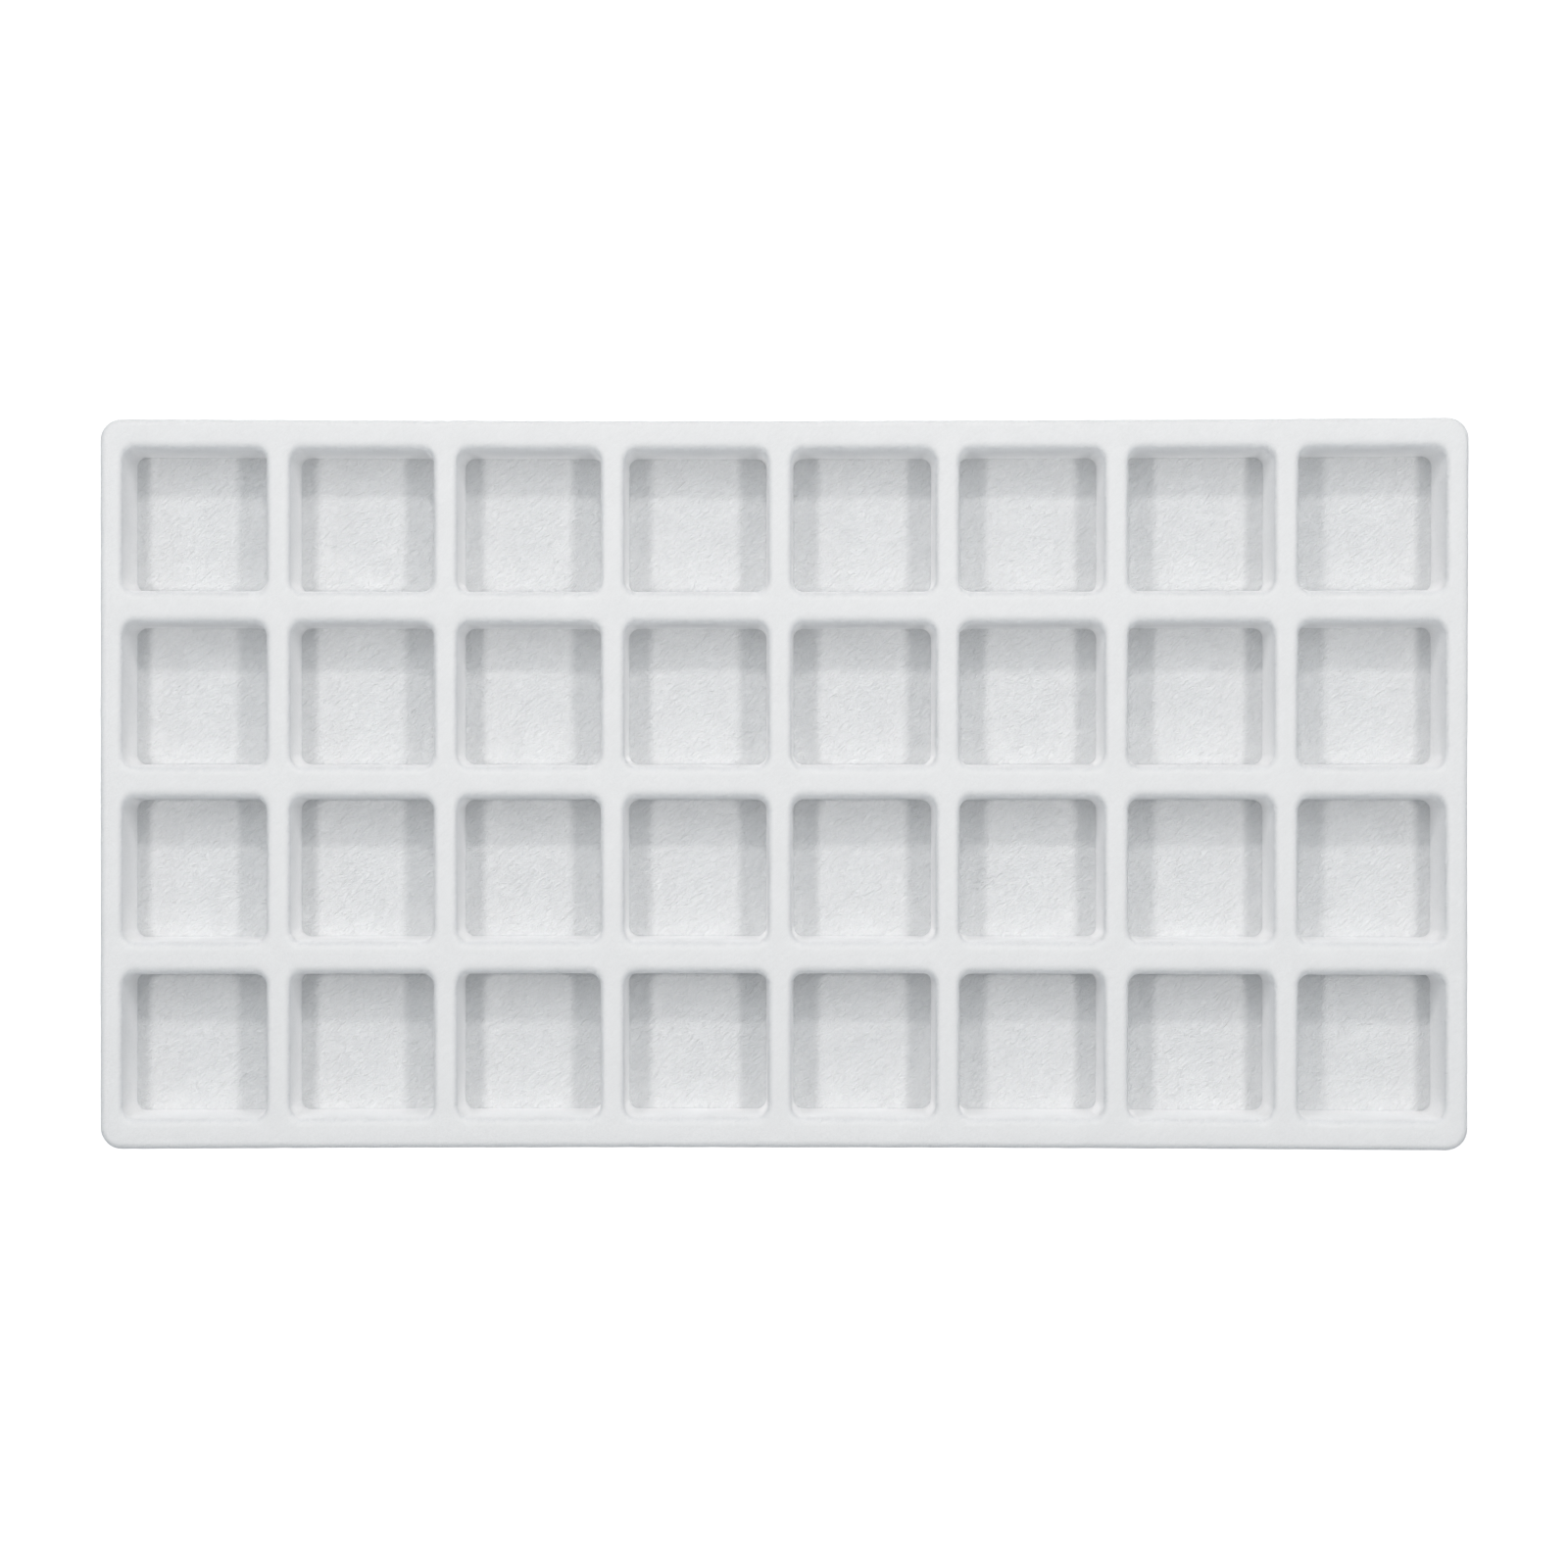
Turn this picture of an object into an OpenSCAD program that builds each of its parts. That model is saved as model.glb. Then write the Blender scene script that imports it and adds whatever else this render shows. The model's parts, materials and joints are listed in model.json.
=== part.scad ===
// Flocked compartment tray liner.
// One plastic sheet is drawn down into a grid of square, flat-bottomed pockets and turned down
// round its edge as a skirt. Glue and a short velvet pile cover its whole upper side.
// Millimetres. The origin is the centre of the footprint, level with the undersides of the pockets.
// +X runs along the long side and +Z points up, out of the pockets.

/* [Pockets] */
// Number of pockets along X
columns = 8; // [1:1:10]
// Number of pockets along Y
rows = 4; // [1:1:6]
// Length of a pocket floor, along X
floor_length = 37.0; // [25:0.1:45]
// Width of a pocket floor, along Y
floor_width = 36.5; // [25:0.1:45]
// Radius of a pocket's upright corners, at its floor
corner_r = 2.7; // [2:0.1:8]
// Lean of the pocket walls, in degrees
wall_draft = 1.2; // [0.5:0.1:4]

/* [Deck and skirt] */
// Height over all, from the pocket undersides to the tips of the pile
height = 22.2; // [14:0.1:40]
// Flat of the rib between neighbouring columns
column_rib = 2.75; // [1:0.05:12]
// Flat of the rib between neighbouring rows
row_rib = 5.05; // [1:0.05:12]
// Flat of the border along the short sides
end_border = 2.35; // [1:0.05:12]
// Flat of the border along the long sides
side_border = 4.5; // [1:0.05:12]
// Radius of the rolled edge between the deck and a pocket or the skirt
rim_r = 1.8; // [1.4:0.1:2.4]
// Radius of the tray's outer corners, seen from above
outer_corner_r = 5.7; // [5:0.1:12]
// Outward lean of the skirt, in degrees
skirt_draft = 1.0; // [0.5:0.1:4]
// Height of the skirt's trimmed edge above the pocket undersides
skirt_gap = 1.5; // [0:0.1:6]

/* [Layers] */
// Thickness of the formed plastic sheet
sheet_t = 0.5; // [0.3:0.05:0.6]
// Thickness of the glue that holds the pile
glue_t = 0.1; // [0.05:0.01:0.15]
// Height of the pile
pile_t = 0.6; // [0.3:0.05:0.6]

/* [Hidden] */
$fn = 48;

// How far each face of each layer lies below the tips of the pile.
pile_top = 0;
glue_top = pile_t;
sheet_top = pile_t + glue_t;
sheet_under = pile_t + glue_t + sheet_t;

// Pockets start on a clean hundredth of a millimetre, so that neighbouring pieces meet exactly.
function hundredth(size) = round(100 * size) / 100;

// A wall runs out from its corner axis by its draft, then turns over the rim about one axis that
// all the layers share.
floor_z = sheet_under;
rim_z = height - rim_r;
wall_run = hundredth((rim_z - floor_z) * tan(wall_draft) + rim_r / cos(wall_draft));
opening_length = floor_length + 2 * wall_run;
opening_width = floor_width + 2 * wall_run;
pitch_x = opening_length + column_rib;
pitch_y = opening_width + row_rib;
deck_length = columns * pitch_x - column_rib + 2 * end_border;
deck_width = rows * pitch_y - row_rib + 2 * side_border;

// The upright axes of the rounded corners, as distances from the middle of a pocket or the tray.
pocket_axis_x = floor_length / 2 - corner_r;
pocket_axis_y = floor_width / 2 - corner_r;
tray_axis_x = deck_length / 2 + rim_r - outer_corner_r;
tray_axis_y = deck_width / 2 + rim_r - outer_corner_r;

// How far the pocket tools stand out of the deck, and the tray's block runs down past its trim.
proud = 0.2;
overlap = 2;

// One side of a pocket in section, out from its corner axis, for the face at this depth below the
// pile's tips. Two flats follow the rolled edge, and the upper one runs on out of the deck.
module pocket_section(depth) {
    bend_r = rim_r - depth;
    bend_x = corner_r + wall_run;
    bottom_z = floor_z - depth;
    bottom_x = corner_r + depth / cos(wall_draft) - depth * tan(wall_draft);
    proud_x = bend_x + proud / tan(45 / 2);
    polygon([
        [0, bottom_z],
        [bottom_x, bottom_z],
        [bend_x - bend_r * cos(wall_draft), rim_z + bend_r * sin(wall_draft)],
        [bend_x - bend_r * cos(45), rim_z + bend_r * sin(45)],
        [proud_x, height - depth + proud],
        [0, height - depth + proud]
    ]);
}

// The same for the deck's outer edge and the skirt, out from the tray's corner axis.
module skirt_section(depth) {
    bend_r = rim_r - depth;
    bend_x = outer_corner_r - rim_r;
    tangent_x = bend_x + bend_r * cos(skirt_draft);
    tangent_z = rim_z + bend_r * sin(skirt_draft);
    bottom_z = -overlap - depth;
    polygon([
        [0, bottom_z],
        [tangent_x + (tangent_z - bottom_z) * tan(skirt_draft), bottom_z],
        [tangent_x, tangent_z],
        [bend_x + bend_r * cos(45), rim_z + bend_r * sin(45)],
        [bend_x, height - depth],
        [0, height - depth]
    ]);
}

// Carries a section round the rectangle of corner axes, and fills the middle.
module round_block(axis_x, axis_y, bottom, top) {
    translate([-axis_x, -axis_y, bottom]) cube([2 * axis_x, 2 * axis_y, top - bottom]);
    for (turn = [0, 180]) {
        rotate(turn) {
            translate([axis_x, 0, 0]) rotate([90, 0, 0]) linear_extrude(2 * axis_y, center = true) children();
            translate([0, axis_y, 0]) rotate([90, 0, 90]) linear_extrude(2 * axis_x, center = true) children();
            translate([axis_x, axis_y, 0]) rotate_extrude(angle = 90) children();
            translate([-axis_x, axis_y, 0]) rotate(90) rotate_extrude(angle = 90) children();
        }
    }
}

// Everything under the face at this depth: the tray's block less its pockets.
module under_face(depth) {
    difference() {
        round_block(tray_axis_x, tray_axis_y, -overlap - depth, height - depth) skirt_section(depth);
        for (column = [0 : columns - 1], row = [0 : rows - 1]) {
            translate([(column - (columns - 1) / 2) * pitch_x, (row - (rows - 1) / 2) * pitch_y, 0])
                round_block(pocket_axis_x, pocket_axis_y, floor_z - depth, height - depth + proud)
                    pocket_section(depth);
        }
    }
}

// What hangs below the skirt's trimmed edge, all round outside the outermost pocket walls.
module skirt_trim() {
    inside_x = deck_length / 2 - end_border / 2;
    inside_y = deck_width / 2 - side_border / 2;
    difference() {
        translate([-deck_length, -deck_width, -3 * overlap])
            cube([2 * deck_length, 2 * deck_width, skirt_gap + 3 * overlap]);
        translate([-inside_x, -inside_y, -4 * overlap])
            cube([2 * inside_x, 2 * inside_y, skirt_gap + 8 * overlap]);
    }
}

// The material between two faces of the tray.
module layer(upper, lower) {
    difference() {
        under_face(upper);
        under_face(lower);
        skirt_trim();
    }
}

module carrier_sheet() {
    color("gainsboro") layer(sheet_top, sheet_under);
}

module adhesive_film() {
    color("ivory") layer(glue_top, sheet_top);
}

module flock_pile() {
    color("white") layer(pile_top, glue_top);
}

carrier_sheet();
adhesive_film();
flock_pile();
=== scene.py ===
"""Looks of the flocked compartment tray liner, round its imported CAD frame. Metres, +Z up."""

import json
import math
from dataclasses import dataclass

import bmesh
import bpy
import numpy as np
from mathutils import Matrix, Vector, noise


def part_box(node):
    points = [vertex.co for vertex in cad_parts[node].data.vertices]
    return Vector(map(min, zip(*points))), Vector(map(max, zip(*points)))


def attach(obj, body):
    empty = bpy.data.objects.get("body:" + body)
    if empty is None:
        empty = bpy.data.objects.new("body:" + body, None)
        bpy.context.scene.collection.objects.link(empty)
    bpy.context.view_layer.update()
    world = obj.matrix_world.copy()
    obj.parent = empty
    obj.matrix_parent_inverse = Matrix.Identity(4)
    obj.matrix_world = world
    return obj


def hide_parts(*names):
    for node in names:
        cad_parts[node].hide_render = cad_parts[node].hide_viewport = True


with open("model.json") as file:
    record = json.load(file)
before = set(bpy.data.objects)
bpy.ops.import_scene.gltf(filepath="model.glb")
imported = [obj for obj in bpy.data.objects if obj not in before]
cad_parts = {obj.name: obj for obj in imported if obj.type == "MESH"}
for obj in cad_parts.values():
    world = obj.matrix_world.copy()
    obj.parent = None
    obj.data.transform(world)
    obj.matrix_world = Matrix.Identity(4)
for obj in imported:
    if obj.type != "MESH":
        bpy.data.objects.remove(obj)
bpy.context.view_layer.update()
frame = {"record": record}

# ---------------------------------------------------------------- sizes, which are the CAD's own
MM = 0.001
FLOOR_HALF = np.array([37.0, 36.5]) * MM / 2
CORNER_R = 2.7 * MM
WALL_DRAFT = math.radians(1.2)
RIM_R = 1.8 * MM
# The sheet rolls more softly into the pockets over the wide ribs between rows.
ROW_RIM_R = 2.6 * MM
BORDER = np.array([2.35, 4.5]) * MM
OUTER_CORNER_R = 5.7 * MM
SKIRT_DRAFT = math.radians(1.0)
SKIRT_GAP = 1.5 * MM
PILE_T = 0.6 * MM
GLUE_T = 0.1 * MM
SHEET_T = 0.5 * MM
# The soft line where a wall meets its floor, which the CAD leaves sharp.
FLOOR_EDGE_R = 0.3 * MM
# How far the pile swells and dips.
PILE_SWELL = 0.06 * MM

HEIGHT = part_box("flock_pile")[1].z
FLOOR_Z = PILE_T + GLUE_T + SHEET_T
RIM_Z = HEIGHT - RIM_R
WALL_RUN = (RIM_Z - FLOOR_Z) * math.tan(WALL_DRAFT) + RIM_R / math.cos(WALL_DRAFT)


def pocket_centres():
    """The distinct X and Y places of the pockets, from the openings that the record states."""
    boxes = [np.array(o["box_m"])[:, :2].mean(0) for o in frame["record"]["physics"]["openings"]]
    return tuple(np.unique(np.round([b[axis] for b in boxes], 6)) for axis in range(2))


COLUMNS, ROWS = pocket_centres()
PITCH = np.array([COLUMNS[1] - COLUMNS[0], ROWS[1] - ROWS[0]])
DECK_HALF = np.array([COLUMNS[-1], ROWS[-1]]) + FLOOR_HALF + WALL_RUN + BORDER
DECK_CORNER_R = OUTER_CORNER_R - RIM_R
POCKET_AXIS = FLOOR_HALF - CORNER_R
TRAY_AXIS = DECK_HALF - DECK_CORNER_R


# ---------------------------------------------------------------- the formed shape
@dataclass
class Detail:
    """How finely a face of the tray is divided. corner is an even number."""

    side: int
    corner: int
    rim: int
    wall: int
    edge: int
    deck: int
    skirt: int


FINE = Detail(side=20, corner=8, rim=6, wall=3, edge=2, deck=2, skirt=6)
MEDIUM = Detail(side=10, corner=4, rim=3, wall=2, edge=3, deck=1, skirt=4)
HIDDEN = Detail(side=10, corner=4, rim=2, wall=1, edge=1, deck=1, skirt=2)


class Shell:
    """The points and faces of one mesh while it is put together."""

    def __init__(self):
        self.points = []
        self.faces = []

    def add(self, points):
        """Stores an array of points and returns their numbers, in the array's own shape."""
        points = np.asarray(points, float)
        start = len(self.points)
        self.points.extend(points.reshape(-1, 3))
        return np.arange(start, len(self.points)).reshape(points.shape[:-1])

    def band(self, outer, inner):
        """Faces between two closed loops that run anticlockwise, seen from above."""
        quads = np.stack([outer, np.roll(outer, -1), np.roll(inner, -1), inner], axis=1)
        self.faces.extend(quads.tolist())

    def patch(self, grid):
        """Faces over a grid whose first index runs along +X and second along +Y."""
        quads = np.stack([grid[:-1, :-1], grid[1:, :-1], grid[1:, 1:], grid[:-1, 1:]], axis=-1)
        self.faces.extend(quads.reshape(-1, 4).tolist())

    def trim(self, outer, inner):
        """Faces on the cut edge between an outer loop and an inner one of as many or fewer points."""
        step = len(outer) // len(inner)
        for i in range(len(inner)):
            along = [outer[(step * i + j) % len(outer)] for j in range(step + 1)]
            self.faces.append([inner[i], inner[(i + 1) % len(inner)], *reversed(along)])

    def flip_from(self, start):
        """Turns over the faces from this one on."""
        self.faces[start:] = [face[::-1] for face in self.faces[start:]]


def round_loop(axis, detail):
    """A loop round a rectangle of corner axes, anticlockwise from the middle of a corner: the
    nearest point of the rectangle, and the direction straight out."""
    corners = [np.array(sign) * axis for sign in ((-1, -1), (1, -1), (1, 1), (-1, 1))]
    half = detail.corner // 2
    cores, angles = [], []
    for k in range(4):
        here, there = corners[k], corners[(k + 1) % 4]
        outward = 270 + 90 * k
        for i in range(half):
            cores.append(here)
            angles.append(outward - 45 + 45 * i / half)
        for i in range(detail.side):
            cores.append(here + (there - here) * i / detail.side)
            angles.append(outward)
        for i in range(half):
            cores.append(there)
            angles.append(outward + 45 * i / half)
    turn = np.radians(angles)
    return np.array(cores), np.stack([np.cos(turn), np.sin(turn)], axis=1)


def cell_loop(centre, low, high, detail):
    """The loop of matching points round a pocket's cell, which runs from low to high. On the deck's
    corners it follows their round."""
    cell = np.array([(low[0], low[1]), (high[0], low[1]), (high[0], high[1]), (low[0], high[1])])
    half = detail.corner // 2
    points = []
    for k in range(4):
        along, across = k % 2, 1 - k % 2
        here, there = cell[k], cell[(k + 1) % 4]
        toward = np.sign(there[along] - here[along])
        stops = [here[along], centre[along] - toward * POCKET_AXIS[along],
                 centre[along] + toward * POCKET_AXIS[along], there[along]]
        if abs(here[across]) > DECK_HALF[across] - 1e-6:
            for end, stop in ((0, 1), (3, 2)):
                if abs(stops[end]) > DECK_HALF[along] - 1e-6:
                    stops[stop] = math.copysign(TRAY_AXIS[along], stops[end])
        for start, end, steps in zip(stops, stops[1:], (half, detail.side, half)):
            for i in range(steps):
                point = here.copy()
                point[along] = start + (end - start) * i / steps
                points.append(point)
    points = np.array(points)
    core = np.clip(points, -TRAY_AXIS, TRAY_AXIS)
    past = points - core
    corner = (np.abs(past) > 1e-9).all(axis=1)
    turn = np.arctan2(np.abs(past[corner, 1]), np.abs(past[corner, 0]))
    # Equal steps along the square become equal steps round the arc.
    even = np.where(turn < math.pi / 4, np.tan(turn), 2 - 1 / np.tan(turn)) * math.pi / 4
    spoke = np.stack([np.cos(even), np.sin(even)], axis=1)
    points[corner] = core[corner] + np.sign(past[corner]) * spoke * DECK_CORNER_R
    return points


def arc(centre, radius, start, end, steps):
    """Points on an arc in section, from one angle to another."""
    turn = np.linspace(start, end, steps + 1)
    return [(centre[0] + radius * math.cos(a), centre[1] + radius * math.sin(a)) for a in turn]


def pocket_section(depth, detail, rim_r=RIM_R):
    """A pocket's side in section, out from its corner axis and from the deck down to the floor,
    at a depth below the tips of the pile."""
    rim_z = HEIGHT - rim_r
    rim = (CORNER_R + (rim_z - FLOOR_Z) * math.tan(WALL_DRAFT) + rim_r / math.cos(WALL_DRAFT), rim_z)
    edge_r = FLOOR_EDGE_R + depth
    edge_z = FLOOR_Z - depth + edge_r
    wall_x = CORNER_R + (edge_z - FLOOR_Z) * math.tan(WALL_DRAFT) + depth / math.cos(WALL_DRAFT)
    edge = (wall_x - edge_r / math.cos(WALL_DRAFT), edge_z)
    over = arc(rim, rim_r - depth, math.pi / 2, math.pi - WALL_DRAFT, detail.rim)
    under = arc(edge, edge_r, -WALL_DRAFT, -math.pi / 2, detail.edge)
    down = np.linspace(over[-1], under[0], detail.wall + 1)[1:-1]
    return np.array([*over, *down, *under])


def skirt_section(depth, detail):
    """The deck's outer edge and the skirt in section, out from the tray's corner axis."""
    over = arc((DECK_CORNER_R, RIM_Z), RIM_R - depth, math.pi / 2, SKIRT_DRAFT, detail.rim)
    drop = over[-1][1] - SKIRT_GAP
    foot = (over[-1][0] + drop * math.tan(SKIRT_DRAFT), SKIRT_GAP)
    down = np.linspace(over[-1], foot, detail.skirt + 1)[1:]
    return np.array([*over, *down])


def sweep(shell, cores, outward, section, row_section=None):
    """Adds a section carried round a loop, and returns its rings of point numbers. It turns into
    row_section, if there is one, where the loop faces along Y."""
    row_section = section if row_section is None else row_section
    share = outward[:, 1:] ** 2
    rings = []
    for here, there in zip(section, row_section):
        point = here + (there - here) * share
        rings.append(shell.add(np.column_stack([cores + outward * point[:, :1], point[:, 1]])))
    return rings


def floor_grid(loop, detail):
    """A grid of points inside a four-sided loop, each row and column blended from the sides."""
    n = detail.side + detail.corner
    bottom, right = loop[0:n + 1], loop[n:2 * n + 1]
    top, left = loop[2 * n:3 * n + 1][::-1], np.vstack([loop[3 * n:], loop[:1]])[::-1]
    u = np.linspace(0, 1, n + 1)[:, None, None]
    v = np.linspace(0, 1, n + 1)[None, :, None]
    across = (1 - v) * bottom[:, None] + v * top[:, None]
    along = (1 - u) * left[None] + u * right[None]
    ends = (1 - u) * ((1 - v) * bottom[0] + v * top[0]) + u * ((1 - v) * bottom[-1] + v * top[-1])
    return across + along - ends


def add_pocket(shell, centre, low, high, depth, detail):
    """One pocket with the deck round it, out to the edge of its cell. Returns the cell's loop."""
    cores, outward = round_loop(POCKET_AXIS, detail)
    rings = sweep(shell, cores + centre, outward, pocket_section(depth, detail),
                  pocket_section(depth, detail, ROW_RIM_R))
    for outer, inner in zip(rings, rings[1:]):
        shell.band(outer, inner)
    floor = shell.add(floor_grid(np.array(shell.points)[rings[-1]], detail))
    shell.patch(floor)
    edge = cell_loop(centre, low, high, detail)
    mouth = np.array(shell.points)[rings[0], :2]
    inner = rings[0]
    for i in range(1, detail.deck + 1):
        flat = mouth + (edge - mouth) * i / detail.deck
        outer = shell.add(np.column_stack([flat, np.full(len(flat), HEIGHT - depth)]))
        shell.band(outer, inner)
        inner = outer
    return edge


def add_face(shell, depth, detail):
    """The whole formed face at a depth below the tips of the pile, facing up. Returns the loop of
    point numbers at the skirt's trimmed edge."""
    outline = {"low": [[], []], "high": [[], []]}
    steps = detail.side + detail.corner
    for row, y in enumerate(ROWS):
        for column, x in enumerate(COLUMNS):
            centre = np.array([x, y])
            first = np.array([column == 0, row == 0])
            last = np.array([column == len(COLUMNS) - 1, row == len(ROWS) - 1])
            low = np.where(first, -DECK_HALF, centre - PITCH / 2)
            high = np.where(last, DECK_HALF, centre + PITCH / 2)
            edge = add_pocket(shell, centre, low, high, depth, detail).reshape(4, steps, 2)
            for side, name, axis, here in ((0, "low", 1, first), (1, "high", 0, last),
                                           (2, "high", 1, last), (3, "low", 0, first)):
                if here[axis]:
                    outline[name][axis].append(edge[side])
    loop = np.vstack([*outline["low"][1], *outline["high"][0],
                      *reversed(outline["high"][1]), *reversed(outline["low"][0])])
    cores = np.clip(loop, -TRAY_AXIS, TRAY_AXIS)
    rings = sweep(shell, cores, (loop - cores) / DECK_CORNER_R, skirt_section(depth, detail))
    for inner, outer in zip(rings, rings[1:]):
        shell.band(outer, inner)
    return rings[-1]


def settled(points):
    """The sheet as it has cooled, not quite true: its long edges draw in at the middle, its right
    end is a little wider and its upper right corner stands out, and its ribs stand a little left
    of and above their places."""
    waist, right_end, both_ends = -0.0035, 0.0021, 0.0071
    corner_out, ribs_up, ribs_left, more_right = 0.35 * MM, 0.5 * MM, 1.1 * MM, 0.9
    points = np.array(points)
    u = points[:, 0] / DECK_HALF[0]
    v = points[:, 1] / DECK_HALF[1]
    points[:, 1] *= 1 + waist + right_end * u + both_ends * u ** 2
    points[:, 1] += ribs_up * np.clip(1 - v ** 2, 0, None)
    points[:, 0] += corner_out * np.clip(u, 0, None) ** 2 * np.clip(v, 0, None)
    points[:, 0] -= ribs_left * np.clip(1 - u ** 2, 0, None) * (1 + more_right * u)
    return points


def layer(name, upper, lower, fine, rough, uneven=0.0):
    """A piece made as a closed solid between two depths, divided as finely as fine above and rough
    below. uneven is how far its upper face swells and dips."""
    shell = Shell()
    top = add_face(shell, upper, fine)
    upper_points = len(shell.points)
    start = len(shell.faces)
    bottom = add_face(shell, lower, rough)
    shell.flip_from(start)
    shell.trim(top, bottom)
    mesh = bpy.data.meshes.new(name)
    mesh.from_pydata(settled(shell.points).tolist(), [], shell.faces)
    mesh.validate()
    work = bmesh.new()
    work.from_mesh(mesh)
    work.verts.ensure_lookup_table()
    if uneven:
        swell(work, upper_points, uneven)
    # The cells' edges meet here: only points in the same place are joined.
    bmesh.ops.remove_doubles(work, verts=work.verts, dist=0.004 * MM)
    work.to_mesh(mesh)
    work.free()
    mesh.shade_smooth()
    return piece(name, mesh)


def swell(work, count, amount):
    """Makes the first points of a mesh rise and sink softly along their normals, by about amount:
    in broad swells and in finer ones, with sizes in millimetres."""
    broad, fine = 7, 2.6
    elsewhere = Vector((40, 0, 0))
    work.normal_update()
    for vert in work.verts[:count]:
        place = vert.co / MM
        soft = noise.noise(place / broad) + 0.8 * noise.noise(place / fine + elsewhere)
        vert.co += vert.normal * amount * soft


def piece(name, mesh):
    """A visible piece made from a mesh."""
    made = bpy.data.objects.new(name, mesh)
    bpy.context.collection.objects.link(made)
    return made


# ---------------------------------------------------------------- materials
class Nodes:
    """Short calls that add nodes to one material."""

    def __init__(self, name):
        self.material = bpy.data.materials.new(name)
        self.material.use_nodes = True
        self.tree = self.material.node_tree
        self.shader = self.tree.nodes["Principled BSDF"]

    def feed(self, socket, value):
        """Links a socket to an output, or sets it to a plain value."""
        if isinstance(value, bpy.types.NodeSocket):
            self.tree.links.new(value, socket)
        else:
            socket.default_value = value

    def math(self, operation, *values):
        node = self.tree.nodes.new("ShaderNodeMath")
        node.operation = operation
        for socket, value in zip(node.inputs, values):
            self.feed(socket, value)
        return node.outputs[0]

    def place(self):
        """The point on the object in millimetres."""
        coordinates = self.tree.nodes.new("ShaderNodeTexCoord")
        return self.map(coordinates.outputs["Object"], (MM, MM, MM))

    def map(self, vector, size, turn=0.0):
        """Measures a vector in steps of a size along each axis, after a turn about Z."""
        node = self.tree.nodes.new("ShaderNodeMapping")
        node.vector_type = "TEXTURE"
        self.feed(node.inputs["Vector"], vector)
        node.inputs["Scale"].default_value = size
        node.inputs["Rotation"].default_value = (0, 0, turn)
        return node.outputs[0]

    def noise(self, vector, scale, detail=2.0, roughness=0.5, distortion=0.0):
        """Noise from 0 to 1, at a scale per unit of its vector."""
        node = self.tree.nodes.new("ShaderNodeTexNoise")
        self.feed(node.inputs["Vector"], vector)
        node.inputs["Scale"].default_value = scale
        node.inputs["Detail"].default_value = detail
        node.inputs["Roughness"].default_value = roughness
        node.inputs["Distortion"].default_value = distortion
        return node.outputs["Fac"]

    def part(self, vector, axis):
        node = self.tree.nodes.new("ShaderNodeSeparateXYZ")
        self.feed(node.inputs[0], vector)
        return node.outputs[axis]

    def ramp(self, value, low, high, start=0.0, end=1.0):
        """Maps a value from low..high to start..end, and holds it at the ends."""
        node = self.tree.nodes.new("ShaderNodeMapRange")
        for socket, given in zip(node.inputs, (value, low, high, start, end)):
            self.feed(socket, given)
        return node.outputs[0]

    def blend(self, factor, first, second):
        node = self.tree.nodes.new("ShaderNodeMix")
        node.data_type = "RGBA"
        self.feed(node.inputs["Factor"], factor)
        self.feed(node.inputs["A"], first)
        self.feed(node.inputs["B"], second)
        return node.outputs["Result"]

    def bump(self, height, distance, strength=1.0):
        """Bumps the shader's normal by a height from 0 to 1, over a distance in millimetres."""
        node = self.tree.nodes.new("ShaderNodeBump")
        node.inputs["Distance"].default_value = distance * MM
        self.feed(node.inputs["Strength"], strength)
        self.feed(node.inputs["Height"], height)
        self.feed(self.shader.inputs["Normal"], node.outputs[0])


def flock_material():
    """White nylon pile: a matte nap, closest on the deck, looser in the pockets, and drawn out
    where the sheet turns down. Its colour is painted darker on the pocket floors as painted shade,
    and lighter on the walls as painted sheen."""
    n = Nodes("velvet_nap")
    point = n.place()
    low, high = FLOOR_Z / MM, HEIGHT / MM
    # Tufts lie in short wandering strokes across the tray's diagonal.
    strokes = n.noise(n.map(point, (1.9, 0.75, 1.0), math.radians(40)), 1.0, 2.0, 0.6, 0.9)
    tufts = n.noise(point, 2.6, 1.0)
    clouds = n.noise(point, 0.11, 2.0)
    nap = n.math("MULTIPLY_ADD", strokes, 0.7, n.math("MULTIPLY", tufts, 0.3))
    # The edges of the drawn parts are as ragged as the tufts.
    height = n.math("MULTIPLY_ADD", nap, 1.2, n.math("SUBTRACT", n.part(point, 2), 0.6))
    deck = n.ramp(height, high - 0.9, high - 0.2)
    # Where the sheet is drawn down into the walls, the colour is painted lighter: painted sheen for
    # light grazing the walls.
    drawn = n.math("MULTIPLY", n.ramp(n.part(point, 2), low + 0.1, low + 0.6),
                   n.ramp(height, high - 0.2, high - 1.7))
    tone = n.math("MULTIPLY_ADD", nap, 0.75, n.math("MULTIPLY", clouds, 0.25))
    tone = n.ramp(tone, 0.36, 0.64)
    # The floor colour is darker than the deck's: painted shade in the pockets, which get less light.
    floor = n.blend(tone, (0.66, 0.672, 0.68, 1), (0.745, 0.755, 0.76, 1))
    top = n.blend(tone, (0.75, 0.75, 0.745, 1), (0.79, 0.79, 0.785, 1))
    # The wall colour is lighter than the deck's: painted sheen.
    side = n.blend(tone, (0.82, 0.82, 0.82, 1), (0.95, 0.95, 0.95, 1))
    n.feed(n.shader.inputs["Base Color"], n.blend(drawn, n.blend(deck, floor, top), side))
    n.shader.inputs["Roughness"].default_value = 1.0
    n.shader.inputs["Specular IOR Level"].default_value = 0.15
    n.shader.inputs["Sheen Weight"].default_value = 0.9
    n.shader.inputs["Sheen Roughness"].default_value = 0.5
    # The nap is roughest on the floors.
    rough = n.math("MULTIPLY", n.ramp(deck, 0.0, 1.0, 1.0, 0.2), n.ramp(drawn, 0.0, 1.0, 1.0, 0.4))
    n.bump(nap, 0.8, rough)
    return n.material


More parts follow.
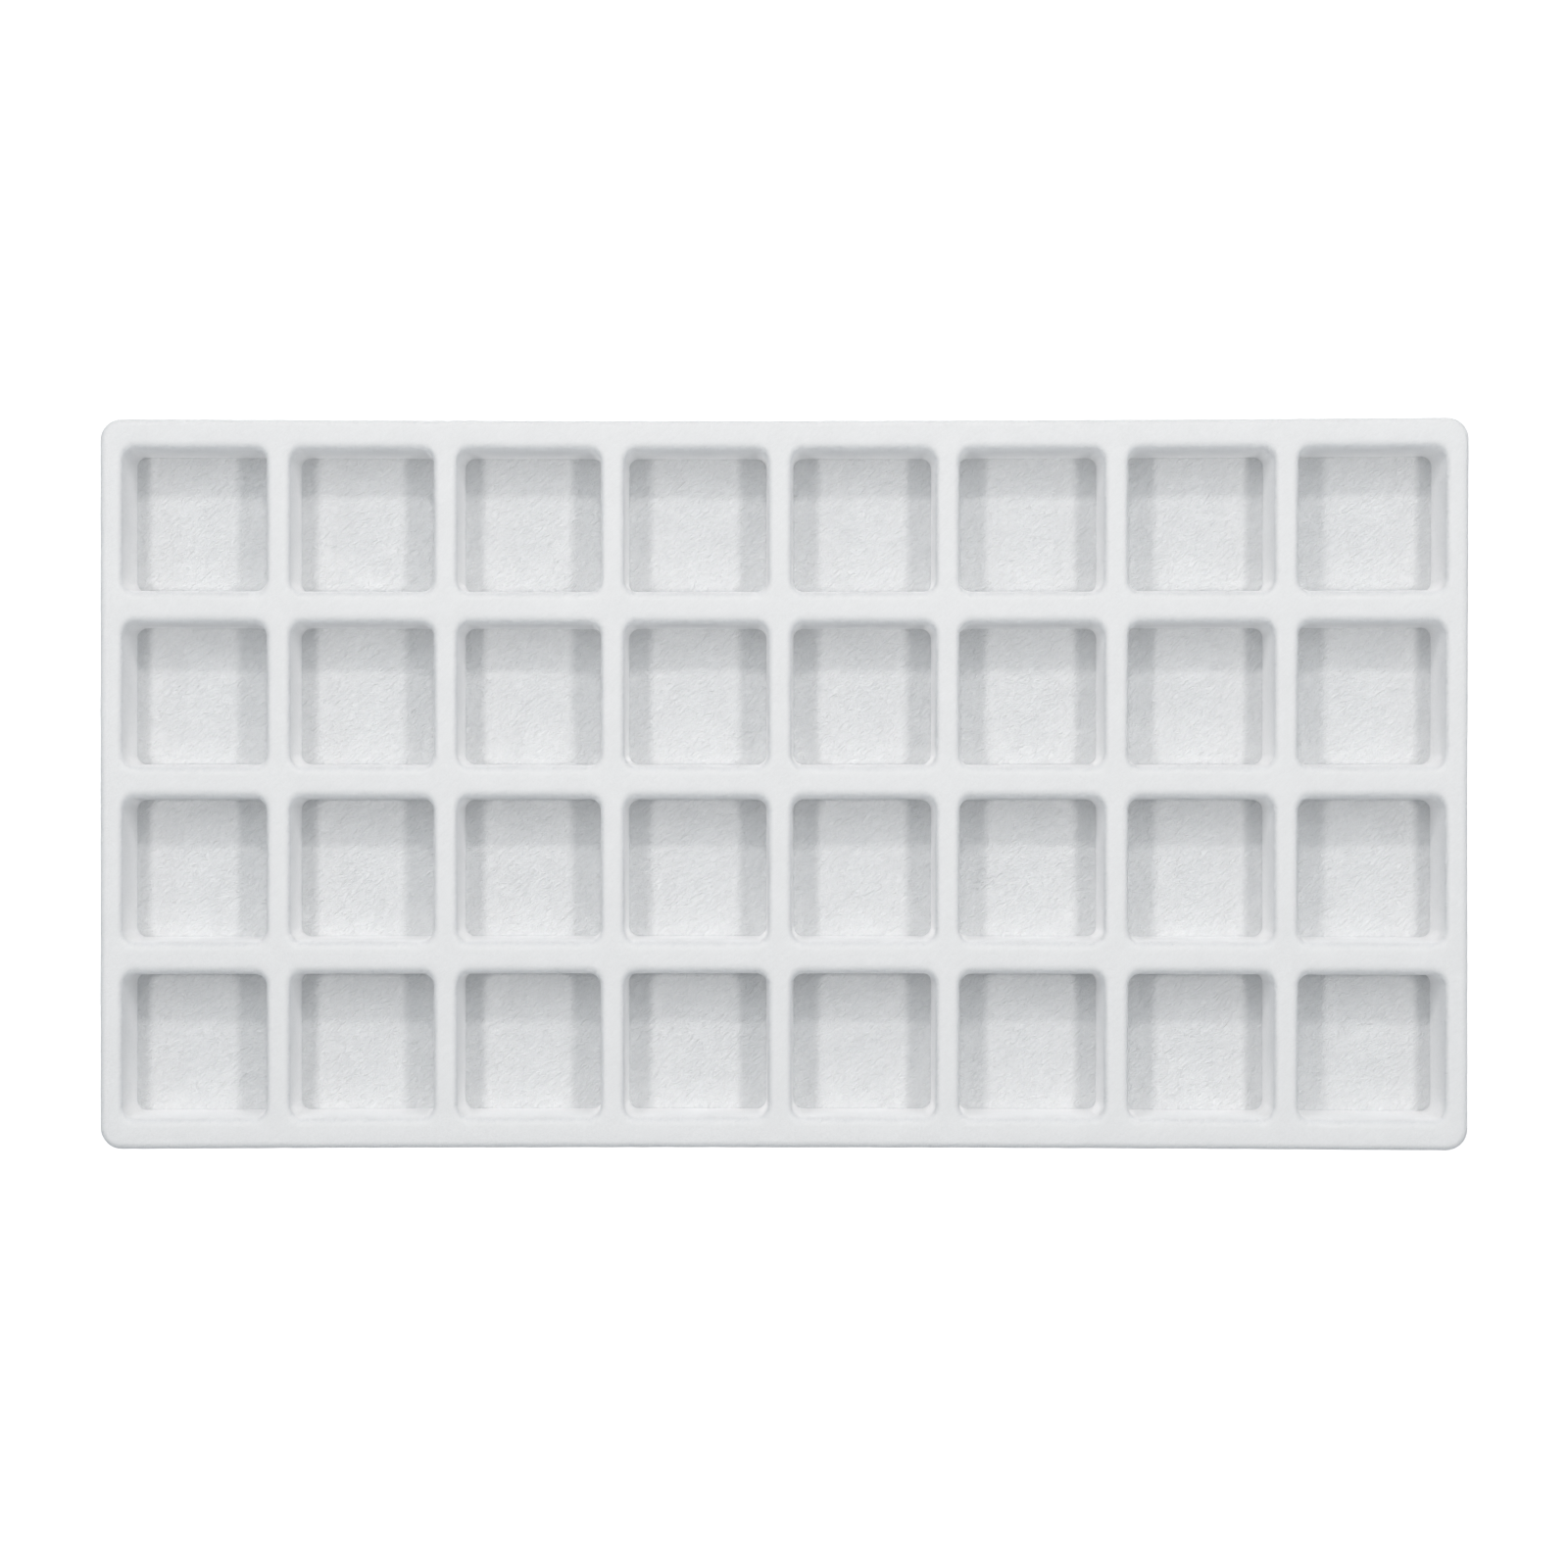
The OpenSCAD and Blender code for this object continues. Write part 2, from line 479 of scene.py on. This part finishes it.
def sheet_material():
    """White plastic sheet as it leaves the mould: satin, with a faint orange peel."""
    n = Nodes("satin_sheet")
    point = n.place()
    peel = n.noise(point, 0.9, 2.0)
    drawn = n.noise(point, 0.09, 2.0)
    n.feed(n.shader.inputs["Base Color"], n.blend(
        n.ramp(drawn, 0.35, 0.65), (0.79, 0.79, 0.785, 1), (0.84, 0.84, 0.84, 1)))
    n.feed(n.shader.inputs["Roughness"], n.ramp(peel, 0.3, 0.7, 0.34, 0.46))
    n.bump(peel, 0.06)
    return n.material


def adhesive_material():
    """The dried adhesive: milky, with the faint streaks it was sprayed in."""
    n = Nodes("milky_glue")
    point = n.place()
    streaks = n.noise(n.map(point, (10, 2, 2)), 1.0, 3.0)
    n.feed(n.shader.inputs["Base Color"], n.blend(
        n.ramp(streaks, 0.35, 0.65), (0.72, 0.72, 0.69, 1), (0.8, 0.8, 0.77, 1)))
    n.feed(n.shader.inputs["Roughness"], n.ramp(streaks, 0.3, 0.7, 0.5, 0.65))
    n.bump(streaks, 0.03)
    return n.material


# ---------------------------------------------------------------- the pieces
def dress(made, node, material):
    """Puts a piece in its CAD node's place, with its material."""
    made.data.materials.append(material)
    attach(made, "root")
    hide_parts(node)


dress(layer("flocked_pile", 0.0, PILE_T, FINE, HIDDEN, uneven=PILE_SWELL),
      "flock_pile", flock_material())
dress(layer("dried_adhesive", PILE_T, PILE_T + GLUE_T, MEDIUM, MEDIUM),
      "adhesive_film", adhesive_material())
dress(layer("formed_sheet", PILE_T + GLUE_T, FLOOR_Z, MEDIUM, MEDIUM),
      "carrier_sheet", sheet_material())


# ---------------------------------------------------------------- floor, light and camera
def stage_floor():
    """A pale floor just below the tray, which the camera sees white and other rays see as paper."""
    bpy.ops.mesh.primitive_plane_add(size=30, location=(0, 0, -0.05 * MM))
    floor = bpy.context.object
    floor.name = "stage_floor"
    n = Nodes("stage_floor")
    tree = n.tree
    n.shader.inputs["Base Color"].default_value = (0.8, 0.8, 0.8, 1)
    n.shader.inputs["Roughness"].default_value = 1.0
    pale = tree.nodes.new("ShaderNodeBsdfPrincipled")
    pale.inputs["Base Color"].default_value = (0.3, 0.3, 0.3, 1)
    pale.inputs["Roughness"].default_value = 1.0
    pale.inputs["Specular IOR Level"].default_value = 0.0
    pale.inputs["Emission Color"].default_value = (1, 1, 1, 1)
    pale.inputs["Emission Strength"].default_value = 1.0
    seen = tree.nodes.new("ShaderNodeLightPath")
    mix = tree.nodes.new("ShaderNodeMixShader")
    n.feed(mix.inputs["Fac"], seen.outputs["Is Camera Ray"])
    n.feed(mix.inputs[1], n.shader.outputs[0])
    n.feed(mix.inputs[2], pale.outputs[0])
    n.feed(tree.nodes["Material Output"].inputs["Surface"], mix.outputs[0])
    floor.data.materials.append(n.material)


def lamp(name, place, watts, size, tint, aim=(0, 0)):
    """A soft studio lamp, pointed at a place on the deck: round, or square-cornered if its size is
    a width and a height."""
    data = bpy.data.lights.new(name, "AREA")
    data.energy = watts
    data.color = tint
    if isinstance(size, tuple):
        data.shape = "RECTANGLE"
        data.size, data.size_y = size
    else:
        data.shape = "DISK"
        data.size = size
    made = bpy.data.objects.new(name, data)
    made.location = place
    made.rotation_euler = (Vector((*aim, HEIGHT)) - Vector(place)).to_track_quat("-Z", "Y").to_euler()
    bpy.context.collection.objects.link(made)


def surroundings():
    """A pale studio all round, which the camera sees white."""
    world = bpy.data.worlds.new("studio")
    bpy.context.scene.world = world
    world.use_nodes = True
    tree = world.node_tree
    room = tree.nodes["Background"]
    room.inputs["Color"].default_value = (0.52, 0.78, 1.0, 1)
    room.inputs["Strength"].default_value = 0.13
    white = tree.nodes.new("ShaderNodeBackground")
    white.inputs["Color"].default_value = (1, 1, 1, 1)
    seen = tree.nodes.new("ShaderNodeLightPath")
    mix = tree.nodes.new("ShaderNodeMixShader")
    tree.links.new(seen.outputs["Is Camera Ray"], mix.inputs["Fac"])
    tree.links.new(room.outputs[0], mix.inputs[1])
    tree.links.new(white.outputs[0], mix.inputs[2])
    tree.links.new(mix.outputs[0], tree.nodes["World Output"].inputs["Surface"])


def camera():
    """Straight down over the middle of the tray."""
    data = bpy.data.cameras.new("camera")
    data.lens = 85
    data.sensor_width = 36
    made = bpy.data.objects.new("camera", data)
    made.location = (0, 0, HEIGHT + 0.97)
    bpy.context.collection.objects.link(made)
    bpy.context.scene.camera = made


stage_floor()
surroundings()
# The left, right and far lamps leave the edged shadows in the pockets, and the others soften them.
WARM = (1.0, 0.97, 0.955)
PALE_BLUE = (0.88, 0.97, 1.0)
lamp("left_lamp", (-0.375, 0.0, 1.05), 3.25, 0.13, WARM, aim=(-0.375, 0))
lamp("right_lamp", (0.39, 0.0, 1.02), 3.15, 0.13, WARM, aim=(0.39, 0))
lamp("far_lamp", (0.0, 0.60, 0.93), 2.3, 0.10, WARM)
lamp("overhead_panel", (0.0, 0.35, 1.10), 2.7, (1.2, 0.5), (1.0, 0.92, 0.90))
lamp("low_panel", (0.0, 1.50, 0.50), 2.2, (1.5, 0.5), (1.0, 0.92, 0.83))
lamp("left_fill", (-0.80, 0.30, 0.90), 1.6, (0.4, 0.4), PALE_BLUE)
lamp("right_fill", (0.80, 0.30, 0.90), 1.45, (0.4, 0.4), PALE_BLUE)
camera()
bpy.context.scene.view_settings.view_transform = "Standard"
